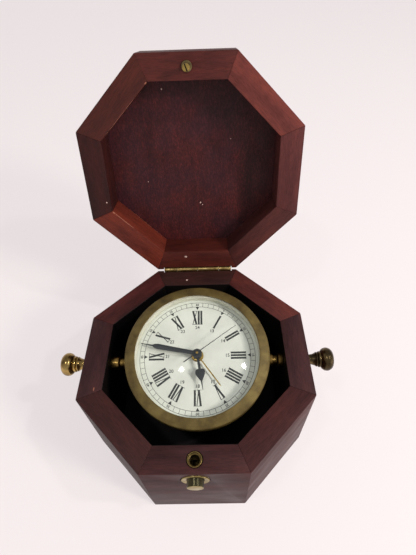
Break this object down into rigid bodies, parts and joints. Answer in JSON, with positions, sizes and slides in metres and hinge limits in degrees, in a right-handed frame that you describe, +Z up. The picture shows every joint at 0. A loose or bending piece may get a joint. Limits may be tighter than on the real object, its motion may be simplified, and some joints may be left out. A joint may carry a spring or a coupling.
{
  "type": "ships deck clock",
  "caption": "Octagonal hinged mahogany box with a brass alarm clock hung on side pivots, turned clamping knobs, a domed crystal and a push-button lid catch.",
  "frame": {"origin": "centre of the felt pad's underside, on the surface the box stands on", "axes": "+Z up, +X to the right as seen from the push button, +Y from the push button towards the hinge"},
  "size_m": [0.1896, 0.226, 0.2237],
  "materials": {
    "mahogany": "red-brown stain under satin lacquer",
    "panel_mahogany": "stained flat panel, satin lacquer",
    "felt": "dark green wool felt",
    "aged_brass": "turned brass, darkened with age, circular brushing",
    "bright_brass": "machined brass, lacquered",
    "steel": "zinc-plated steel",
    "glass": "clear domed crystal",
    "white_enamel": "off-white enamel",
    "black_enamel": "black enamel",
    "black_plastic": "moulded, fine matte texture",
    "white_plastic": "moulded, glossy",
    "battery_sleeve": "plain shrunk sleeve"
  },
  "bodies": {
    "box": {"base_stave_back": "mahogany", "base_stave_back_left": "mahogany", "base_stave_left": "mahogany", "base_stave_front_left": "mahogany", "base_stave_front": "mahogany", "base_stave_front_right": "mahogany", "base_stave_right": "mahogany", "base_stave_back_right": "mahogany", "base_floor": "panel_mahogany", "base_felt": "felt", "wall_bush_left": "aged_brass", "wall_bush_right": "aged_brass", "latch_cup": "bright_brass", "latch_barrel": "bright_brass", "latch_spring": "steel", "latch_ferrule": "bright_brass", "hinge_leaf_base": "bright_brass", "hinge_screw_base_left": "bright_brass", "hinge_screw_base_right": "bright_brass", "hinge_pin": "steel"},
    "lid": {"lid_stave_back": "mahogany", "lid_stave_back_left": "mahogany", "lid_stave_left": "mahogany", "lid_stave_front_left": "mahogany", "lid_stave_front": "mahogany", "lid_stave_front_right": "mahogany", "lid_stave_right": "mahogany", "lid_stave_back_right": "mahogany", "lid_panel": "panel_mahogany", "catch_pin": "bright_brass", "catch_washer": "bright_brass", "hinge_leaf_lid": "bright_brass", "hinge_screw_lid_left": "bright_brass", "hinge_screw_lid_right": "bright_brass"},
    "push_button": {"latch_button": "bright_brass"},
    "left_knob": {"pivot_knob_left": "aged_brass"},
    "right_knob": {"pivot_knob_right": "aged_brass"},
    "clock": {"clock_drum": "aged_brass", "pivot_boss_left": "aged_brass", "pivot_boss_right": "aged_brass", "bezel": "aged_brass", "crystal": "glass", "surround_ring": "white_enamel", "dial": "white_enamel", "dial_nut": "bright_brass", "movement": "black_plastic", "battery": "battery_sleeve", "back_cover": "aged_brass", "cover_screw_1": "steel", "cover_screw_2": "steel", "cover_screw_3": "steel"},
    "minute_arbor": {"minute_hand": "black_enamel"},
    "hour_arbor": {"hour_hand": "black_enamel"},
    "seconds_arbor": {"seconds_hand": "black_enamel"},
    "alarm_arbor": {"alarm_hand": "bright_brass"},
    "time_setter": {"time_set_knob": "black_plastic"},
    "alarm_setter": {"alarm_set_knob": "black_plastic"},
    "alarm_slider": {"alarm_switch": "white_plastic"}
  },
  "joints": [
    {"name": "lid_hinge", "type": "hinge", "parent": "box", "child": "lid", "pos_m": [0.0005, 0.07666, 0.0776], "axis": [-1, 0, 0], "range_deg": [-106.8, 0]},
    {"name": "clock_tilt", "type": "hinge", "parent": "box", "child": "clock", "pos_m": [0, 0, 0.0655], "axis": [1, 0, 0], "range_deg": [-27, 167]},
    {"name": "latch_push", "type": "slide", "parent": "box", "child": "push_button", "axis": [0, 1, 0], "range_m": [0, 0.0027], "stiffness_N_per_m": 400, "springref_m": -0.002, "deforming": ["latch_spring"]},
    {"name": "left_knob_turn", "type": "hinge", "parent": "box", "child": "left_knob", "pos_m": [-0.085, 0, 0.0655], "axis": [-1, 0, 0], "range_deg": [0, 360]},
    {"name": "right_knob_turn", "type": "hinge", "parent": "box", "child": "right_knob", "pos_m": [0.085, 0, 0.0655], "axis": [1, 0, 0], "range_deg": [0, 360]},
    {"name": "minute_hand_turn", "type": "hinge", "parent": "clock", "child": "minute_arbor", "pos_m": [0.00116, 0, 0.0655], "axis": [0, 0.2287, -0.9735], "continuous": true},
    {"name": "hour_hand_turn", "type": "hinge", "parent": "clock", "child": "hour_arbor", "pos_m": [0.00116, 0, 0.0655], "axis": [0, 0.2287, -0.9735], "continuous": true},
    {"name": "seconds_hand_turn", "type": "hinge", "parent": "clock", "child": "seconds_arbor", "pos_m": [0.00116, 0, 0.0655], "axis": [0, 0.2287, -0.9735], "continuous": true},
    {"name": "time_set_turn", "type": "hinge", "parent": "clock", "child": "time_setter", "pos_m": [-0.00884, 0.013, 0.05828], "axis": [0, 0.2287, -0.9735], "continuous": true},
    {"name": "alarm_set_turn", "type": "hinge", "parent": "clock", "child": "alarm_setter", "pos_m": [0.01316, 0.01008, 0.0576], "axis": [0, 0.2287, -0.9735], "continuous": true},
    {"name": "alarm_hand_turn", "type": "hinge", "parent": "clock", "child": "alarm_arbor", "pos_m": [0.00116, 0, 0.0655], "axis": [0, 0.2287, -0.9735], "continuous": true},
    {"name": "alarm_switch_slide", "type": "slide", "parent": "clock", "child": "alarm_slider", "axis": [1, 0, 0], "range_m": [0, 0.004]}
  ],
  "couplings": [
    {"joint": "hour_hand_turn", "follows": "minute_hand_turn", "ratio": 0.083333},
    {"joint": "seconds_hand_turn", "follows": "minute_hand_turn", "ratio": 60},
    {"joint": "time_set_turn", "follows": "minute_hand_turn", "ratio": 1},
    {"joint": "alarm_hand_turn", "follows": "alarm_set_turn", "ratio": 1}
  ]
}
